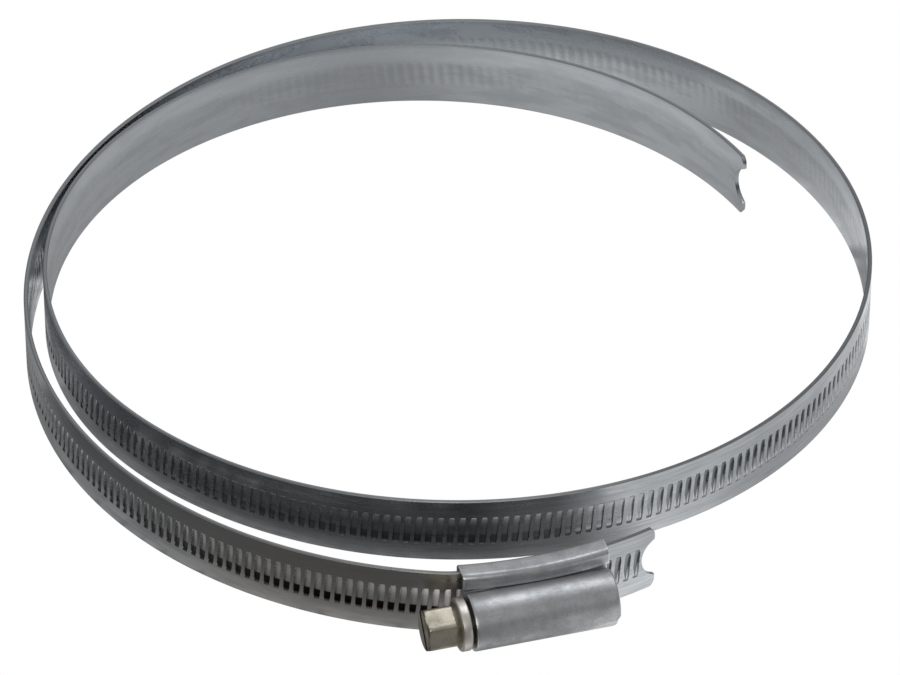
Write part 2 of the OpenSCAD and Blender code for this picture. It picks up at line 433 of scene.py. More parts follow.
def plating_group():
    """Mottled zinc plating with fine grain and a few scratches."""
    name = "Zinc Mottle"
    if name in bpy.data.node_groups:
        return bpy.data.node_groups[name]
    made, t, i, o = group(
        name,
        [("Vector", "NodeSocketVector", None), ("Scale", "NodeSocketFloat", 1.0)],
        [("Mottle", "NodeSocketFloat"), ("Scratches", "NodeSocketFloat"), ("Height", "NodeSocketFloat")],
    )
    scaled = t.add("ShaderNodeVectorMath", operation="SCALE")
    t.link(i["Vector"], scaled.inputs[0])
    t.link(i["Scale"], scaled.inputs["Scale"])
    v = scaled.outputs[0]
    cloud = t.noise(v, 260.0, 5.0, 0.6)
    grain = t.noise(v, 2600.0, 3.0, 0.6)
    line = t.noise(t.stretch(v, (60.0, 1500.0, 700.0)), 1.0, 2.0, 0.5)
    t.link(t.plus(t.times(cloud, 0.7), t.times(grain, 0.3)), o["Mottle"])
    t.link(t.ramp(line, 0.62, 0.72), o["Scratches"])
    t.link(t.plus(t.times(grain, 0.6), t.times(line, 0.4)), o["Height"])
    return made


def use_group(t, made, **inputs):
    """A group node with its inputs fed."""
    node = t.add("ShaderNodeGroup")
    node.node_tree = made
    for key, value in inputs.items():
        t.feed(node.inputs[key], value)
    return node.outputs


def metal(name):
    """A new material with a metallic Principled BSDF; returns material, Tree and the shader."""
    material = bpy.data.materials.new(name)
    material.use_nodes = True
    t = Tree(material.node_tree)
    shader = t.add("ShaderNodeBsdfPrincipled")
    shader.inputs["Metallic"].default_value = 1.0
    output = t.add("ShaderNodeOutputMaterial")
    t.link(shader.outputs[0], output.inputs["Surface"])
    return material, t, shader


def bump(t, shader, height, strength, distance):
    """Feeds a height into the shader's normal."""
    node = t.add("ShaderNodeBump")
    node.inputs["Strength"].default_value = strength
    node.inputs["Distance"].default_value = distance
    t.link(height, node.inputs["Height"])
    t.link(node.outputs[0], shader.inputs["Normal"])


def strip_zones(t, uv):
    """Masks of the handled stretch beside the housing and of the stretches that carry the painted dark
    wedge in the grooves, which are the fixed tail and run 5. U counts the strip's length in tenths of a
    metre."""
    split = t.add("ShaderNodeSeparateXYZ")
    t.link(uv, split.inputs[0])
    along = split.outputs["X"]
    close = t.times(t.ramp(along, 0.28, 0.34), t.ramp(along, 1.15, 0.62))
    painted_light_zone = t.plus(t.ramp(along, 0.30, 0.26), t.times(t.ramp(along, 3.5, 4.0), t.ramp(along, 5.0, 4.8)))
    return close, painted_light_zone


def groove_tones(t, f, tone, drop, close, painted_light_zone):
    """Lays the grooves' tones over the strip's: a painted highlight on the groove floor, painted shade
    low down, and on the fixed tail and run 5 a painted dark wedge with painted highlight beside it.
    Returns the tone and the masks of the grooves and of the painted shade at their lower ends."""
    groove = t.ramp(t.attribute("groove"), 0.1, 0.6)
    across = t.attribute("across")
    # Painted highlight on the groove floor, stronger beside the housing.
    painted_highlight = t.times(groove, t.plus(0.2, t.times(close, 0.6)), t.remap(across, 0.7, 0.1, 0.1, 1.0))
    tone = t.tint(painted_highlight, tone, f.groove_highlight)
    # Painted shade low in the grooves, stronger beside the housing.
    patch = t.times(t.ramp(drop, -1.0, -1.25), t.ramp(drop, -2.85, -2.65),
                    t.ramp(t.math("ABSOLUTE", across), 0.95, 0.75))
    low_shade = t.times(groove, patch, t.plus(0.4, t.times(close, 0.6)), t.less(1.0, painted_light_zone))
    tone = t.tint(low_shade, tone, f.groove_low_shade)
    # Painted shade: a dark wedge in the grooves of the fixed tail and run 5, with painted highlight
    # beside it.
    reach = t.times(t.plus(drop, 3.1), 0.27)
    wedge = t.ramp(t.less(reach, t.math("ABSOLUTE", t.plus(across, 0.08))), -0.08, 0.1)
    tone = t.tint(t.times(groove, painted_light_zone, t.less(1.0, wedge), 0.35), tone, f.groove_highlight)
    tone = t.tint(t.times(groove, painted_light_zone, wedge, 0.9), tone, f.groove_shade)
    # Painted shade at the grooves' lower ends.
    foot_shade = t.times(groove, t.ramp(drop, -2.4, -2.7), t.less(1.0, t.times(painted_light_zone, 0.8)))
    return t.tint(t.times(foot_shade, 0.9), tone, f.groove_shade), groove, foot_shade


def strip_material(f):
    """Zinc-coated rolled strip: lengthwise streaks, calmer and bluer on the inner face, which is also
    lightened as a painted reflection with a painted highlight along its upper part; the grooves carry
    painted highlight and painted shade.
    """
    material, t, shader = metal("strip_steel")
    uv = t.add("ShaderNodeUVMap", uv_map="UVMap").outputs[0]
    s = use_group(t, streak_group(), Vector=uv)
    edge, inner, drop = (t.attribute(key) for key in ("edge", "inner", "drop"))
    close, painted_light_zone = strip_zones(t, uv)
    streaks = t.times(t.less(s["Streaks"], 0.5), t.less(1.0, t.times(inner, 0.7)))
    tone = t.tint(t.ramp(streaks, -0.2, 0.2), (*f.strip_dark, 1), f.strip_light)
    tone = t.tint(t.times(s["Stains"], 0.25), tone, f.strip_dark)
    tone = t.tint(t.times(close, 0.55), tone, f.strip_warm)
    # Painted reflection on the inner face: lighter overall, with a painted highlight along its upper
    # part.
    upper_sheen = t.times(t.ramp(drop, 1.0, 4.2), t.remap(drop, 6.4, 5.4, 0.3, 1.0))
    tone = t.tint(t.times(inner, t.plus(0.25, t.times(upper_sheen, 0.6))), tone, f.inner_face_sheen)
    tone, groove, foot_shade = groove_tones(t, f, tone, drop, close, painted_light_zone)
    tone = t.tint(t.times(edge, t.plus(0.45, t.times(painted_light_zone, 0.4))), tone, f.edge_dull)
    t.link(tone, shader.inputs["Base Color"])
    rough = t.less(t.remap(s["Stains"], 0.0, 1.0, 0.24, 0.36), t.times(groove, 0.08))
    rough = t.plus(rough, t.times(foot_shade, 0.35), t.times(edge, 0.28))
    t.link(rough, shader.inputs["Roughness"])
    bump(t, shader, s["Height"], 0.2, 0.00002)
    return material


def sheet_material(f):
    """Pressed zinc-coated sheet, with a painted highlight along the edges marked in its meshes."""
    name = "pressed_zinc"
    if name in bpy.data.materials:
        return bpy.data.materials[name]
    material, t, shader = metal(name)
    place = t.add("ShaderNodeTexCoord").outputs["Object"]
    m = use_group(t, plating_group(), Vector=place, Scale=1.0)
    edge = t.attribute("edge")
    tone = t.tint(t.ramp(m["Mottle"], 0.36, 0.64), (*f.sheet_dark, 1), f.sheet_light)
    tone = t.tint(t.times(m["Scratches"], 0.5), tone, f.scratch_tone)
    # Painted highlight along the marked edges.
    tone = t.tint(t.times(edge, 0.8), tone, f.edge_highlight)
    t.link(tone, shader.inputs["Base Color"])
    rough = t.remap(m["Mottle"], 0.35, 0.65, 0.52, 0.40)
    t.link(t.less(rough, t.times(edge, 0.12)), shader.inputs["Roughness"])
    bump(t, shader, m["Height"], 0.3, 0.00004)
    return material


def plating_material(f):
    """Yellow-passivated zinc on the screw, with a painted highlight over the collar and painted shade in
    the driver slot and over the part inside the barrel.
    """
    material, t, shader = metal("screw_zinc")
    place = t.add("ShaderNodeTexCoord").outputs["Object"]
    m = use_group(t, plating_group(), Vector=place, Scale=1.3)
    tone = t.tint(t.ramp(m["Mottle"], 0.36, 0.60), (*f.plating_dark, 1), f.plating_light)
    # Painted highlight over the collar.
    tone = t.tint(t.times(t.attribute("collar"), 0.85), tone, f.collar_highlight)
    # Painted shade in the driver slot and past the collar.
    tone = t.tint(t.times(t.attribute("recess"), 0.9), tone, f.recess_shade)
    t.link(tone, shader.inputs["Base Color"])
    t.link(t.remap(m["Mottle"], 0.35, 0.65, 0.48, 0.36), shader.inputs["Roughness"])
    bump(t, shader, m["Height"], 0.3, 0.00004)
    return material


# ---------- band


class HOSECLIP_OT_band(bpy.types.Operator):
    """Build the strip: two ends that ride rigidly and nine bends between the runs"""

    bl_idname = "hoseclip.band"
    bl_label = "Build Band"

    def execute(self, context):
        b = context.scene.hose_clip.band
        self.b = b
        self.path = StripPath(b)
        self.material = strip_material(context.scene.hose_clip.finish)
        places = self.places = self.path.groove_places(b)
        lands = (places[1:] + places[:-1]) / 2
        cuts = [lands[np.argmin(abs(lands - self.path.starts[1]))]]
        for k in range(2, 11):
            middle = (self.path.starts[k] + self.path.starts[k + 1]) / 2
            cuts.append(lands[np.argmin(abs(lands - middle))])
        bodies = ["clip"] + [f"band_run_{k}" for k in range(1, 9)] + ["band_free_end"]
        nodes = ["band_fixed_end"] + bodies[1:]

        tail = self.end_piece("band_fixed_tail", places, 0.0, cuts[0])
        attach(tail, "clip")
        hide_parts("band_fixed_end")
        for k in range(1, 10):
            piece = self.bend_piece(f"band_bend_{k}", places, cuts[k - 1], cuts[k])
            self.path.point(cuts[k - 1])
            self.path.point(cuts[k])
            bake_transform(piece)
            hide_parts(nodes[k])
        tail = self.end_piece("band_free_tail", places, cuts[9], self.path.total)
        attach(tail, "band_free_end")
        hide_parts("band_free_end")
        return {"FINISHED"}

    def columns(self, places, lo, hi):
        """Lengths of the columns between two lands and how far each lies in a groove (0..1)."""
        b = self.b
        half = b.groove_width / 2
        inside = places[(places > lo) & (places < hi)]
        s, off, depth = [lo], [0.0], [0.0]
        for i, p in enumerate(inside):
            s += [p] * 5
            off += [-half, -half * 0.8, 0.0, half * 0.8, half]
            depth += [0.0, 1.0, 1.0, 1.0, 0.0]
            if i + 1 < len(inside):
                s.append((p + inside[i + 1]) / 2)
                off.append(0.0)
                depth.append(0.0)
        return [*s, hi], [*off, 0.0], [*depth, 0.0]

    def lay(self, name, s, z, depth, taper):
        """Mesh of a piece. s and depth are columns x rows, z is the rows' heights."""
        b = self.b
        n = len(z)
        half_t = b.thickness / 2
        top = b.width / 2
        well = np.where(abs(z) < 2.9 * MM, 0.2 + 0.8 * (1 - (z / (2.9 * MM)) ** 2), 0.0)
        outer = half_t - taper - b.groove_depth * depth * well
        inner = -half_t + taper - 0.02 * MM * depth * (abs(z) < 2.3 * MM)
        edge_up = np.full((len(s), 1), half_t - b.bevel)
        s_ring = np.concatenate([s[:, :1], s, s[:, -1:], s[:, -1:], s[:, ::-1], s[:, :1]], axis=1)
        o_ring = np.concatenate([edge_up, outer, edge_up, -edge_up, inner[:, ::-1], -edge_up], axis=1)
        z_ring = np.concatenate([[-top], z, [top], [top], z[::-1], [-top]])
        rows = len(z_ring)
        p, normal = self.path.frames(s_ring.ravel())
        xy = p + normal * o_ring.ravel()[:, None]
        verts = np.column_stack([xy, np.tile(z_ring, len(s))])
        faces = tube_faces(len(s), rows) + ladder_cap(0, n + 2) + ladder_cap((len(s) - 1) * rows, n + 2)
        side = np.concatenate([np.zeros(n + 2), np.ones(n + 2)])
        v = np.tile(z_ring + side * 0.04, len(s))
        uv = np.column_stack([s_ring.ravel(), v]) * 10
        edge = (abs(abs(z_ring) - top) < 1e-6).astype(float)
        in_groove = np.concatenate([[0.0], abs(z) < 2.97 * MM, [0.0], np.zeros(n + 2)])
        cut = np.repeat(depth[:, n // 2], rows) * np.tile(in_groove, len(s))
        middle = s[:, n // 2]
        near = self.places[np.argmin(abs(middle[:, None] - self.places[None, :]), axis=1)]
        across = np.clip((middle - near) / (b.groove_width / 2), -1, 1)
        values = {"uv": uv, "edge": np.tile(edge, len(s)), "groove": cut, "inner": np.tile(side, len(s)),
                  "drop": np.tile(z_ring / MM, len(s)), "across": np.repeat(across, rows)}
        return mesh_object(name, verts, faces, self.material, values, 30.0)

    def slanted(self, s, off, z):
        """Columns of lengths s + off leaning with the grooves, which narrow at their ends."""
        lean = -math.tan(self.b.groove_slant) * np.clip(z, -2.9 * MM, 2.9 * MM)
        narrow = 1 - 0.22 * smooth((abs(z) / MM - 2.2) / 0.6)
        return np.asarray(s)[:, None] + lean[None, :] + np.asarray(off)[:, None] * narrow[None, :]

    def bend_piece(self, name, places, lo, hi):
        """A stretch of grooved strip between two lands."""
        z = np.array([6.3, 5.0, 3.7, 3.0, 2.95, 2.82, 2.55, 2.1, 1.4, 0.7]) * MM
        z = np.concatenate([-z, [0.0], z[::-1]])
        s, off, depth = self.columns(places, lo, hi)
        grid = self.slanted(s, off, z)
        depth = np.repeat(np.array(depth)[:, None], len(z), axis=1)
        obj = self.lay(name, grid, z, depth, np.zeros_like(depth))
        return obj

    def end_piece(self, name, places, lo, hi):
        """A stretch of strip that finishes in a fishtail, at its low or its high end."""
        b = self.b
        free = hi > self.path.total - MM
        z = np.array([6.3, 6.1, 5.75, 5.35, 4.9, 4.4, 3.95, 3.7, 3.3,
                      3.0, 2.95, 2.82, 2.55, 2.1, 1.4, 0.7]) * MM
        z = np.concatenate([-z, [0.0], z[::-1]])
        half = b.groove_pitch / 2
        inside = places[(places > lo) & (places < hi)]
        plain = inside[-1] + half if free else inside[0] - half
        s, off, depth = self.columns(places, lo, hi)
        if free:
            s[-1] = plain
        else:
            s[0] = plain
        grid = self.slanted(s, off, z)
        reach = b.notch_radius - b.notch_depth
        notch = np.sqrt(np.clip(b.notch_radius**2 - z**2, 0, None)) - reach
        round_z = np.clip(abs(z) - (b.width / 2 - b.prong_radius), 0, b.prong_radius)
        corner = b.prong_radius - np.sqrt(np.clip(b.prong_radius**2 - round_z**2, 0, None))
        cut = np.maximum(np.clip(notch, 0, None), corner)
        tip = hi - cut if free else lo + cut
        base = grid[-1] if free else grid[0]
        steps = 9 if free else 4
        rim = 0.12 * MM * (-1 if free else 1)
        more = [base + (tip + rim - base) * k / steps for k in range(1, steps + 1)] + [tip]
        order = 1 if free else -1
        grid = np.concatenate([grid[::order], more])[::order]
        taper = np.concatenate([np.zeros(len(depth) + steps), [0.1 * MM]])[::order]
        depth = np.concatenate([depth[::order], np.zeros(len(more))])[::order]
        rows = np.ones(len(z))
        obj = self.lay(name, grid, z, depth[:, None] * rows, taper[:, None] * rows)
        return obj


# ---------- saddle


class HOSECLIP_OT_saddle(bpy.types.Operator):
    """Build the strap that wraps the strip and folds over the housing's flanges"""

    bl_idname = "hoseclip.saddle"
    bl_label = "Build Saddle"

    def execute(self, context):
        clip = context.scene.hose_clip
        h = clip.housing
        face, origin = housing_seat(clip.band)
        t = h.saddle_sheet / 2
        bend = 0.7 * MM
        top = h.saddle_height / 2 - t
        lip = h.lip_reach - t
        back = -0.03 * MM - t
        line = [(lip, h.lip_gap / 2), (lip, h.lip_gap / 2 + 0.12 * MM), (lip, 5.6 * MM)]
        facing = [0.0, 0.0, 0.0]
        for centre, first in ((lip - bend, 0), (back + bend, 8)):
            for k in range(first, first + 9):
                a = math.pi / 16 * k
                line.append((centre + bend * math.cos(a), top - bend + bend * math.sin(a)))
                facing.append(a)
        line = np.array(line + [(back, 3.0 * MM)])
        facing = np.array(facing + [math.pi])
        line = np.concatenate([line, line[::-1] * (1, -1)])
        facing = np.concatenate([facing, -facing[::-1]])
        normal = np.column_stack([np.cos(facing), np.sin(facing)])
        xs = np.linspace(-1, 1, 41) * (h.saddle_length / 2 - 0.25 * MM)
        end = h.saddle_length / 2
        xs = np.concatenate([[-end, -end + 0.08 * MM], xs, [end - 0.08 * MM, end]])
        thin = np.zeros(len(xs))
        thin[[0, -1]] = 0.12 * MM
        thin[[1, -2]] = 0.03 * MM
        verts, edge = [], []
        # Painted highlight: the lips' lower edges and the sheet's two ends are marked as edge and
        # painted bright in the sheet's finish.
        painted_light_zone = np.zeros(len(line))
        painted_light_zone[[0, 1, -2, -1]] = 1.0
        for x, less in zip(xs, thin):
            off = np.full(len(line), t - less)
            off[[0, -1]] -= 0.15 * MM
            edge += [*(np.maximum(painted_light_zone, float(less > 0))), *np.zeros(len(line))]
            outer = line + normal * off[:, None]
            inner = line - normal * off[:, None]
            for q, z in np.concatenate([outer, inner[::-1]]):
                verts.append((x - origin[0], -math.sqrt((face + q) ** 2 - x * x) - origin[1], z))
        n = len(line)
        faces = tube_faces(len(xs), 2 * n) + ladder_cap(0, n) + ladder_cap((len(xs) - 1) * 2 * n, n)
        obj = mesh_object("saddle_strap", verts, faces, sheet_material(clip.finish), {"edge": edge})
        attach(obj, "clip")
        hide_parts("saddle")
        return {"FINISHED"}


# ---------- housing


class HOSECLIP_OT_housing(bpy.types.Operator):
    """Build the pressed barrel with its flanges and its two end walls"""

    bl_idname = "hoseclip.housing"
    bl_label = "Build Housing"

    def execute(self, context):
        clip = context.scene.hose_clip
        h = clip.housing
        face, origin = housing_seat(clip.band)
        end = h.barrel_length / 2
        r_out = h.barrel_radius
        r_in = h.barrel_radius - h.barrel_sheet
        edge = h.saddle_height / 2 - h.saddle_sheet - 0.12 * MM
        xs = np.concatenate([
            [-end, -end + 0.07 * MM, -end + 0.2 * MM],
            np.linspace(-end + 0.6 * MM, end - 1.2 * MM, 30),
            [end - 0.75 * MM, end - 0.45 * MM, end - 0.22 * MM, end - 0.07 * MM, end],
        ])
        less = np.zeros(len(xs))
        less[0], less[1] = 0.16 * MM, 0.05 * MM
        less[-4:] = np.array([0.02, 0.09, 0.25, 0.5]) * MM
        verts, painted_light_zone = [], []
        for x, slim in zip(xs, less):
            near = math.sqrt((face + h.flange_reach) ** 2 - x * x) - face
            far = math.sqrt((face + h.flange_reach + h.flange_sheet) ** 2 - x * x) - face
            outer = self.half(far, edge, r_out - slim, h.axis_reach)
            inner = self.half(near, edge, r_in, h.axis_reach)
            ring = np.concatenate([outer, outer[::-1][1:] * (1, -1)])
            back = np.concatenate([inner, inner[::-1][1:] * (1, -1)])
            for q, z in np.concatenate([ring, back[::-1]]):
                low = smooth(np.array((-z / MM - 0.8) / 0.4))
                shift = -h.end_step * float(low) if x > end - 0.8 * MM else 0.0
                verts.append((x + shift - origin[0], -face - q - origin[1], z))
            # Painted highlight: the outer face at the barrel's two ends is marked as edge and painted
            # bright in the sheet's finish.
            painted_light_zone += [float(abs(x) > end - 0.1 * MM)] * len(ring) + [0.0] * len(ring)
        n = len(ring)
        faces = tube_faces(len(xs), 2 * n) + ladder_cap(0, n) + ladder_cap((len(xs) - 1) * 2 * n, n)
        centre = -face - h.axis_reach - origin[1]
        wall = 0.8 * MM
        for x0, x1, hole in ((-end + 0.03 * MM, -end + wall, clip.screw.journal_radius + 0.06 * MM),
                             (end - wall - h.end_step, end - h.end_step - 0.02 * MM, 0.0)):
            base = len(verts)
            more, some = self.disc(x0 - origin[0], x1 - origin[0], centre, r_in + 0.35 * MM, hole, base)
            verts += more
            faces += some
        base = len(verts)
        more, some = self.half_disc(end - h.end_step - 0.1 * MM - origin[0], end - 0.02 * MM - origin[0],
                                    centre, r_in + 0.35 * MM, base)
        verts += more
        faces += some
        painted_light_zone += [0.0] * (len(verts) - len(painted_light_zone))
        obj = mesh_object("housing_shell", verts, faces, sheet_material(clip.finish), {"edge": painted_light_zone})
        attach(obj, "clip")
        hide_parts("screw_housing")
        return {"FINISHED"}

    @staticmethod
    def half(level, edge, r, reach):
        """Upper half of the section: flange from its edge, a soft root, then half of the barrel."""
        drop = reach - level
        root = math.sqrt(max(r * r - drop * drop, 1e-12))
        start = math.asin(min(1.0, drop / r))
        points = [(level, edge), (level, edge - 0.1 * MM), (level, (edge + root) / 2)]
        fillet = math.radians(7)
        a0 = -start + fillet
        q1 = (reach + r * math.sin(a0), r * math.cos(a0))
        q0 = (level, root + 0.45 * MM)
        corner = (level, root)
        for k in range(6):
            u = k / 5
            a, b, c = (1 - u) ** 2, 2 * u * (1 - u), u * u
            points.append(tuple(a * q0[i] + b * corner[i] + c * q1[i] for i in (0, 1)))
        for k in range(1, 25):
            a = a0 + (math.pi / 2 - a0) * k / 24
            points.append((reach + r * math.sin(a), r * math.cos(a)))
        return np.array(points)

    @staticmethod
    def disc(x0, x1, y, r, hole, base):
        """A closed disc or washer across the barrel."""
        n = 64
        verts, faces = [], []
        radii = (hole if hole else 0.4 * MM, r)
        for x in (x0, x1):
            for rr in radii:
                for k in range(n):
                    a = 2 * math.pi * k / n
                    verts.append((x, y + rr * math.cos(a), rr * math.sin(a)))
        for k in range(n):
            m = (k + 1) % n
            a, c, d, e = base, base + n, base + 2 * n, base + 3 * n
            faces.append((a + k, a + m, c + m, c + k))
            faces.append((d + k, e + k, e + m, d + m))
            faces.append((c + k, c + m, e + m, e + k))
            if hole:
                faces.append((a + k, d + k, d + m, a + m))
        if not hole:
            faces.append(tuple(base + k for k in range(n)))
            faces.append(tuple(base + 2 * n + k for k in range(n)))
        return verts, faces

    @staticmethod
    def half_disc(x0, x1, y, r, base):
        """The part of the closed end that stands proud, above the step."""
        n = 40
        low = -1.0 * MM
        a0 = math.asin(low / r)
        verts = []
        for x in (x0, x1):
            for k in range(n):
                a = a0 + (math.pi - 2 * a0) * k / (n - 1)
                verts.append((x, y + r * math.cos(a), r * math.sin(a)))
        faces = [tuple(base + k for k in range(n)), tuple(base + n + k for k in range(n))]
        for k in range(n):
            m = (k + 1) % n
            faces.append((base + k, base + m, base + n + m, base + n + k))
        return verts, faces


# ---------- screw


class HOSECLIP_OT_screw(bpy.types.Operator):
    """Build the hex-headed worm screw"""

    bl_idname = "hoseclip.screw"
    bl_label = "Build Screw"

    def execute(self, context):
        clip = context.scene.hose_clip
        h, b, w = clip.housing, clip.band, clip.screw
        face, origin = housing_seat(b)
        segments = 96
        theta = np.arange(segments) * 2 * math.pi / segments
        collar_x = -h.barrel_length / 2 - w.collar_gap
        flare_x = collar_x - w.collar_length - w.flare_length
        head_x = flare_x - w.hex_length
        thread_x0 = -h.barrel_length / 2 + 2.4 * MM
        thread_x1 = h.barrel_length / 2 - 2.3 * MM
        flat = w.hex_flats / 2
        corner = flat / math.cos(math.pi / 6)
        swing = theta % (math.pi / 3) - math.pi / 6
        hexagon = np.minimum(flat / np.cos(swing), corner - 0.1 * MM)
        steps = []

        def ring(x, r):
            steps.append((x, np.broadcast_to(r, theta.shape)))

        ring(head_x, np.full(segments, flat - 0.75 * MM))
        for k in range(13):
            x = head_x + w.hex_length * (k / 12) ** 1.7 * 0.98 + 0.001 * MM
            cone = corner - 0.62 * MM + (x - head_x) * 1.7
            ring(x, np.minimum(hexagon, cone))
        for k in range(5):
            u = k / 4
            ring(flare_x + w.flare_length * u, flat - 0.12 * MM + (0.75 * u ** 1.6) * MM)
        c = w.collar_radius
        x0 = collar_x - w.collar_length
        for dx, dr in ((0.002, -0.42), (0.03, -0.36), (0.12, -0.14), (0.28, -0.02), (0.45, 0.0)):
            ring(x0 + dx * MM, c + dr * MM)
        for dx, dr in ((0.4, 0.0), (0.22, -0.02), (0.08, -0.1), (0.0, -0.25)):
            ring(collar_x - dx * MM, c + dr * MM)
        ring(collar_x + 0.01 * MM, w.journal_radius)
        ring(thread_x0 - 0.3 * MM, w.journal_radius)
        ring(thread_x0, w.root_radius)
        count = 110
        for k in range(count):
            x = thread_x0 + 0.05 * MM + (thread_x1 - thread_x0 - 0.1 * MM) * k / (count - 1)
            phase = ((x - thread_x0) / b.groove_pitch - theta / (2 * math.pi)) % 1.0
            ridge = smooth((0.36 - abs(phase - 0.5)) / 0.2)
            fade = smooth(np.array(min(x - thread_x0, thread_x1 - x) / (0.8 * MM)))
            ring(x, w.root_radius + (w.worm_radius - w.root_radius) * ridge * fade)
        ring(thread_x1, w.root_radius - 0.2 * MM)
        verts = []
        for x, r in steps:
            verts += [(x, rr * math.cos(a), rr * math.sin(a)) for rr, a in zip(r, theta)]
        faces = tube_faces(len(steps), segments)
        faces.append(tuple(range(segments)))
        last = (len(steps) - 1) * segments
        faces.append(tuple(last + k for k in range(segments)))
        obj = mesh_object("worm_screw_body", verts, faces, plating_material(clip.finish))
        self.cut_slot(obj, head_x, w)
        recess = obj.data.attributes.new("recess", "FLOAT", "FACE")
        collar = obj.data.attributes.new("collar", "FLOAT", "FACE")
        for i, polygon in enumerate(obj.data.polygons):
            x, y = polygon.center[:2]
            slot = x < head_x + w.slot_depth + 0.01 * MM and abs(y) < w.slot_width / 2 + 0.01 * MM
            # Painted shade: the driver slot and everything past the collar (journal and worm inside the
            # barrel) are marked to be painted near black.
            recess.data[i].value = float(slot or x > collar_x + 0.001 * MM)
            # Painted highlight: the collar is marked to be painted lighter than the rest of the plating.
            collar.data[i].value = float(x0 < x < collar_x)
        obj.data.transform(
            Matrix.Translation((-origin[0], -face - h.axis_reach - origin[1], 0.0))
            @ Matrix.Rotation(w.rest_turn, 4, "X")
        )
        obj.data.set_sharp_from_angle(angle=math.radians(28))
        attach(obj, "screw")
        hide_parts("worm_screw")
        return {"FINISHED"}

    @staticmethod
    def cut_slot(obj, head_x, w):
        """Cuts the driver slot across the end of the head."""
        x0, x1 = head_x - MM, head_x + w.slot_depth
        y, z = w.slot_width / 2, 6 * MM
        bm = bmesh.new()
        bmesh.ops.create_cube(bm, size=1.0)
        for v in bm.verts:
            v.co = (x0 if v.co.x < 0 else x1, math.copysign(y, v.co.y), math.copysign(z, v.co.z))
        cutter_mesh = bpy.data.meshes.new("slot_cutter")
        bm.to_mesh(cutter_mesh)
        bm.free()
        cutter = bpy.data.objects.new("slot_cutter", cutter_mesh)
        bpy.context.scene.collection.objects.link(cutter)
        change = obj.modifiers.new("Slot", "BOOLEAN")
        change.operation = "DIFFERENCE"
        change.solver = "EXACT"
        change.object = cutter
        bpy.context.view_layer.update()
        graph = bpy.context.evaluated_depsgraph_get()
        made = bpy.data.meshes.new_from_object(obj.evaluated_get(graph))
        obj.modifiers.clear()
        old = obj.data
        obj.data = made
        bpy.data.meshes.remove(old)
        bpy.data.objects.remove(cutter)
        bpy.data.meshes.remove(cutter_mesh)


# ---------- stage


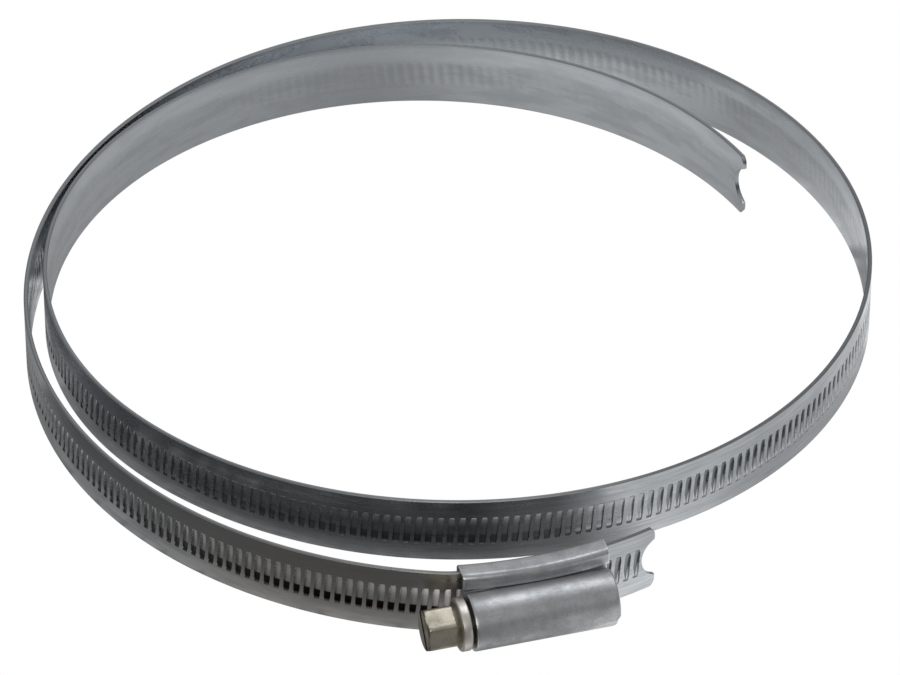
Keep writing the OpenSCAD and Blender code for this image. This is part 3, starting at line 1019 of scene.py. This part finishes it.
class HOSECLIP_OT_stage(bpy.types.Operator):
    """Set the camera, the pale floor and the soft studio light"""

    bl_idname = "hoseclip.stage"
    bl_label = "Set Stage"

    def execute(self, context):
        context.scene.view_settings.view_transform = "Standard"
        self.camera(context.scene)
        self.floor(context.scene)
        self.world(context.scene)
        self.lights(context.scene)
        return {"FINISHED"}

    @staticmethod
    def camera(scene):
        data = bpy.data.cameras.new("Camera")
        data.sensor_width = 36.0
        data.lens = 259.2
        data.clip_start = 0.01
        data.clip_end = 20.0
        camera = bpy.data.objects.new("Camera", data)
        camera.location = (-0.258855, -0.910704, 0.709613)
        aim = Vector((0.003468, -0.008322, -0.0065)) - Vector(camera.location)
        camera.rotation_euler = aim.to_track_quat("-Z", "Y").to_euler()
        scene.collection.objects.link(camera)
        scene.camera = camera

    @staticmethod
    def clear_of(path, lo, hi, x, y):
        """How far outside a stretch of the band each point lies, in millimetres; 0 on its inner side."""
        points, normals = path.frames(np.linspace(lo, hi, 260))
        gap_x = x[:, None] - points[None, :, 0]
        gap_y = y[:, None] - points[None, :, 1]
        far = np.hypot(gap_x, gap_y)
        near = np.argmin(far, axis=1)
        rows = np.arange(len(x))
        side = gap_x[rows, near] * normals[near, 0] + gap_y[rows, near] * normals[near, 1]
        return np.where(side > 0, far[rows, near], 0.0) / MM

    def floor_tones(self, path, x, y):
        """Over the floor's points, how much a card hides the light below and how bright it is. A dark
        card lies at the front left, a light one at the front right and one behind between the turns."""
        half = path.starts[6]
        outer = self.clear_of(path, 0.0, half, x, y)
        inner = self.clear_of(path, half, path.total, x, y)
        away = np.where(outer > 0, outer, inner)
        turned = np.degrees(np.arctan2(y, x))

        left = smooth((-73.0 - turned) / 12.0) * smooth((turned + 205.0) / 40.0)
        at_neck = 1 - 0.25 * smooth((turned + 102.0) / 14.0)
        between = left * at_neck * (0.45 + 0.47 * smooth((inner - 1.0) / 6.0)) * smooth(inner / 0.5)
        between = between * (outer == 0)
        at_head = 1 - 0.8 * smooth((turned + 109.0) / 8.0)
        beyond = left * at_head * (0.2 + 0.6 * smooth((outer - 1.0) / 8.0)) * smooth(outer / 0.5)

        start = np.where(outer > 0, 98.0, 84.0)
        right = smooth((turned + start) / 13.0) * smooth((60.0 - turned) / 60.0)
        past_head = smooth((turned + 74.0) / 22.0)
        fall = np.where(outer > 0, 0.35, 0.42 - 0.8 * past_head) * smooth((away - 2.0) / 13.0)
        near = np.where(outer > 0, 1.2, 1.15 - 0.62 * past_head)

        behind = smooth((y / MM - 5.0) / 30.0) * smooth((turned - 8.0) / 74.0)
        behind = behind * (outer == 0) * smooth(inner) * smooth((40.0 - inner) / 8.0)

        flag = np.maximum(np.maximum(between, beyond), np.maximum(right * 0.92, behind) * smooth(away))
        glow = np.maximum(right * near * (1.0 - fall), behind * 1.5)
        return flag, glow

    def floor(self, scene):
        """A wide plane, plain white where it is seen, with cards where the metal mirrors it."""
        steps = np.arange(-0.13, 0.1301, 0.0025)
        line = np.concatenate([[-6.0, -1.0, -0.3], steps, [0.3, 1.0, 6.0]])
        n = len(line)
        x, y = (g.ravel() for g in np.meshgrid(line, line))
        flag, glow = self.floor_tones(StripPath(scene.hose_clip.band), x, y)
        level = -(scene.hose_clip.housing.saddle_height / 2 + 0.07 * MM)
        faces = [(j * n + i, j * n + i + 1, (j + 1) * n + i + 1, (j + 1) * n + i)
                 for j in range(n - 1) for i in range(n - 1)]
        mesh = bpy.data.meshes.new("floor")
        mesh.from_pydata(np.column_stack([x, y, np.full(len(x), level)]).tolist(), [], faces)
        for key, numbers in (("flag", flag), ("glow", glow)):
            layer = mesh.attributes.new(key, "FLOAT", "POINT")
            layer.data.foreach_set("value", numbers.astype(np.float32))
        floor = bpy.data.objects.new("floor", mesh)
        scene.collection.objects.link(floor)
        mesh.materials.append(self.floor_material(scene.hose_clip.finish.floor_tone))

    @staticmethod
    def floor_material(rgb):
        """Plain for the camera; a card of the point's flag and glow for every other ray."""
        material = bpy.data.materials.new("floor")
        material.use_nodes = True
        t = Tree(material.node_tree)
        seen = t.add("ShaderNodeLightPath").outputs["Is Camera Ray"]
        plain = t.add("ShaderNodeEmission")
        plain.inputs["Color"].default_value = (*rgb, 1)
        card = t.add("ShaderNodeEmission")
        t.link(t.attribute("glow"), card.inputs["Strength"])
        clear = t.add("ShaderNodeBsdfTransparent")
        soft, both = t.add("ShaderNodeMixShader"), t.add("ShaderNodeMixShader")
        output = t.add("ShaderNodeOutputMaterial")
        for source, target in (
            (t.attribute("flag"), soft.inputs[0]), (clear.outputs[0], soft.inputs[1]),
            (card.outputs[0], soft.inputs[2]), (seen, both.inputs[0]), (soft.outputs[0], both.inputs[1]),
            (plain.outputs[0], both.inputs[2]), (both.outputs[0], output.inputs["Surface"]),
        ):
            t.link(source, target)
        return material

    @staticmethod
    def world(scene):
        """A soft room whose strength depends on the direction: open below, dim at the rim."""
        world = bpy.data.worlds.new("studio")
        scene.world = world
        world.use_nodes = True
        t = Tree(world.node_tree)
        split = t.add("ShaderNodeSeparateXYZ")
        t.link(t.add("ShaderNodeTexCoord").outputs["Generated"], split.inputs[0])
        x, y, z = (split.outputs[k] for k in "XYZ")
        flat = t.math("MAXIMUM", t.math("SQRT", t.less(1.0, t.times(z, z))), 0.02)
        east, north = t.math("DIVIDE", x, flat), t.math("DIVIDE", y, flat)
        front, back = t.ramp(north, -0.35, -0.9), t.ramp(north, 0.3, 0.9)
        right, left = t.ramp(east, 0.0, 0.8), t.ramp(east, 0.0, -0.8)
        slanting = t.less(t.plus(0.47, t.times(right, 0.12), t.times(left, 0.26)), t.times(back, 0.12))
        steep = t.plus(0.30, t.times(front, 0.75), t.times(right, 0.15))
        rim = t.plus(0.01, t.times(right, 0.22), t.times(left, 0.08), t.times(back, 0.25))
        below = t.between(t.ramp(z, -0.70, -0.92), slanting, steep)
        room = t.between(t.ramp(z, -0.50, -0.20), below, rim)
        room = t.plus(room, t.remap(z, 0.1, 0.7, 0.0, 0.28))
        seen = t.add("ShaderNodeLightPath").outputs["Is Camera Ray"]
        background = t.add("ShaderNodeBackground")
        t.link(t.between(seen, room, 1.25), background.inputs["Strength"])
        t.link(background.outputs[0], t.add("ShaderNodeOutputWorld").inputs["Surface"])

    @staticmethod
    def lights(scene):
        for name, place, size, power, tone in (
            ("key", (-0.35, -1.1, 0.72), 0.6, 2.6, (1.0, 0.98, 0.95)),
            ("top", (0.5, 0.3, 1.3), 0.6, 3.0, (0.93, 0.96, 1.0)),
        ):
            data = bpy.data.lights.new(name, "AREA")
            data.size = size
            data.energy = power
            data.color = tone
            light = bpy.data.objects.new(name, data)
            light.location = place
            light.rotation_euler = (-Vector(place)).to_track_quat("-Z", "Y").to_euler()
            scene.collection.objects.link(light)


# ---------- panel and registration


class HOSECLIP_PT_panel(bpy.types.Panel):
    """Sidebar panel of the hose clip"""

    bl_idname = "HOSECLIP_PT_panel"
    bl_label = "Hose Clip"
    bl_space_type = "VIEW_3D"
    bl_region_type = "UI"
    bl_category = "Hose Clip"

    def draw(self, context):
        s = context.scene.hose_clip
        groups = ((s.band, ("band",)), (s.housing, ("saddle", "housing")), (s.screw, ("screw",)),
                  (s.finish, ("stage",)))
        for part, calls in groups:
            box = self.layout.box()
            for key in part.__annotations__:
                box.prop(part, key)
            for call in calls:
                box.operator("hoseclip." + call)


CLASSES = (
    BandSettings, HousingSettings, ScrewSettings, FinishSettings, HoseClipSettings,
    HOSECLIP_OT_stage, HOSECLIP_OT_band, HOSECLIP_OT_saddle, HOSECLIP_OT_housing,
    HOSECLIP_OT_screw, HOSECLIP_PT_panel,
)


def register():
    for cls in CLASSES:
        bpy.utils.register_class(cls)
    bpy.types.Scene.hose_clip = PointerProperty(type=HoseClipSettings)


def unregister():
    del bpy.types.Scene.hose_clip
    for cls in reversed(CLASSES):
        bpy.utils.unregister_class(cls)


def main():
    register()
    for call in ("stage", "band", "saddle", "housing", "screw"):
        getattr(bpy.ops.hoseclip, call)()


if __name__ == "__main__":
    main()
